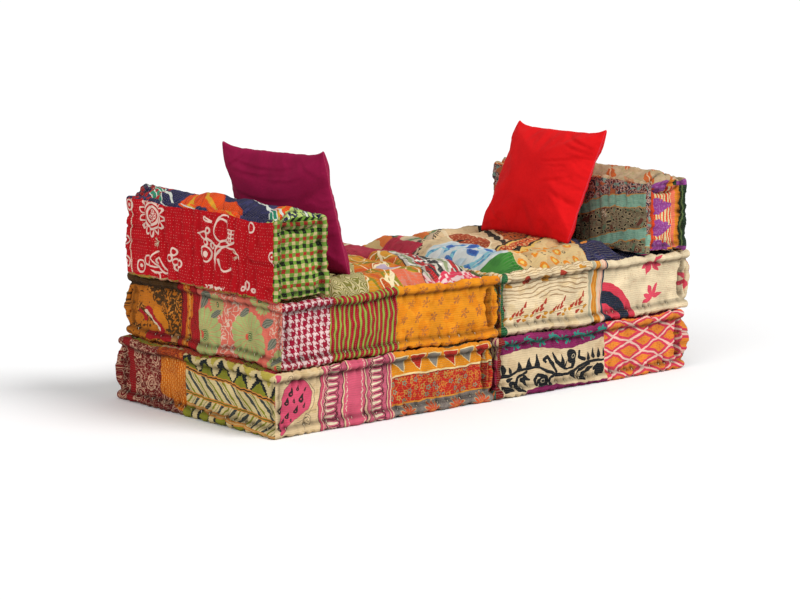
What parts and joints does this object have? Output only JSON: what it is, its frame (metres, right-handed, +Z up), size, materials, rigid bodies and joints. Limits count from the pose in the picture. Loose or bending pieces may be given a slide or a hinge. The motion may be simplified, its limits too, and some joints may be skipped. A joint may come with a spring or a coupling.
{
  "type": "modular floor cushion sofa",
  "caption": "Low modular daybed of stacked patchwork floor mattresses with rolled edges and tufts, square end bolsters and loose throw pillows; every cushion slides or lifts away.",
  "frame": {"origin": "middle of the sofa's footprint, on the floor", "axes": "+X along the sofa towards its right end seen from the front, +Y from front to back, +Z up"},
  "size_m": [1.6284, 0.716, 0.7576],
  "materials": {
    "patchwork_base_left": "worn multi-layer cotton patchwork with running stitches",
    "patchwork_base_right": "worn multi-layer cotton patchwork with running stitches",
    "patchwork_seat_left": "worn multi-layer cotton patchwork with running stitches",
    "patchwork_seat_right": "worn multi-layer cotton patchwork with running stitches",
    "patchwork_bolster_left": "worn multi-layer cotton patchwork with running stitches",
    "patchwork_bolster_right": "worn multi-layer cotton patchwork with running stitches",
    "underside_cotton": "plain woven cotton",
    "cotton_filling": "packed cotton wadding",
    "tie_twine": "twisted cotton twine",
    "pillow_magenta": "plain woven cotton, matt",
    "pillow_red": "plain woven cotton, matt",
    "pillow_insert": "white fleece bag with fibre filling",
    "zip_tape": "dyed nylon coil on woven tape",
    "zip_metal": "plated zinc"
  },
  "bodies": {
    "base_left": {"base_left_top": "patchwork_base_left", "base_left_border": "patchwork_base_left", "base_left_underside": "underside_cotton", "base_left_filling": "cotton_filling", "base_left_ties": "tie_twine"},
    "base_right": {"base_right_top": "patchwork_base_right", "base_right_border": "patchwork_base_right", "base_right_underside": "underside_cotton", "base_right_filling": "cotton_filling", "base_right_ties": "tie_twine"},
    "seat_left": {"seat_left_top": "patchwork_seat_left", "seat_left_border": "patchwork_seat_left", "seat_left_underside": "underside_cotton", "seat_left_filling": "cotton_filling", "seat_left_ties": "tie_twine"},
    "seat_right": {"seat_right_top": "patchwork_seat_right", "seat_right_border": "patchwork_seat_right", "seat_right_underside": "underside_cotton", "seat_right_filling": "cotton_filling", "seat_right_ties": "tie_twine"},
    "bolster_left": {"bolster_left_inner_face": "patchwork_bolster_left", "bolster_left_border": "patchwork_bolster_left", "bolster_left_outer_face": "patchwork_bolster_left", "bolster_left_filling": "cotton_filling", "bolster_left_ties": "tie_twine"},
    "bolster_right": {"bolster_right_inner_face": "patchwork_bolster_right", "bolster_right_border": "patchwork_bolster_right", "bolster_right_outer_face": "patchwork_bolster_right", "bolster_right_filling": "cotton_filling", "bolster_right_ties": "tie_twine"},
    "pillow_left": {"pillow_left_front": "pillow_magenta", "pillow_left_back": "pillow_magenta", "pillow_left_insert": "pillow_insert", "pillow_left_zip": "zip_tape"},
    "pillow_right": {"pillow_right_front": "pillow_red", "pillow_right_back": "pillow_red", "pillow_right_insert": "pillow_insert", "pillow_right_zip": "zip_tape"},
    "zip_slider_left": {"pillow_left_zip_slider": "zip_metal"},
    "zip_slider_right": {"pillow_right_zip_slider": "zip_metal"}
  },
  "joints": [
    {"name": "modules_part", "type": "slide", "parent": "base_left", "child": "base_right", "axis": [1, 0, 0], "range_m": [0, 0.5]},
    {"name": "seat_left_lift", "type": "slide", "parent": "base_left", "child": "seat_left", "axis": [0, 0, 1], "range_m": [0, 0.25]},
    {"name": "seat_right_lift", "type": "slide", "parent": "base_right", "child": "seat_right", "axis": [0, 0, 1], "range_m": [0, 0.25]},
    {"name": "bolster_left_lift", "type": "slide", "parent": "seat_left", "child": "bolster_left", "axis": [0, 0, 1], "range_m": [0, 0.25]},
    {"name": "bolster_right_lift", "type": "slide", "parent": "seat_right", "child": "bolster_right", "axis": [0, 0, 1], "range_m": [0, 0.25]},
    {"name": "pillow_left_lift", "type": "slide", "parent": "bolster_left", "child": "pillow_left", "axis": [0, 0, 1], "range_m": [0, 0.25]},
    {"name": "pillow_right_lift", "type": "slide", "parent": "bolster_right", "child": "pillow_right", "axis": [0, 0, 1], "range_m": [0, 0.25]},
    {"name": "pillow_left_unzip", "type": "slide", "parent": "pillow_left", "child": "zip_slider_left", "axis": [0.1461, -0.9893, 0], "range_m": [0, 0.26]},
    {"name": "pillow_right_unzip", "type": "slide", "parent": "pillow_right", "child": "zip_slider_right", "axis": [0, -1, 0], "range_m": [0, 0.26]}
  ]
}
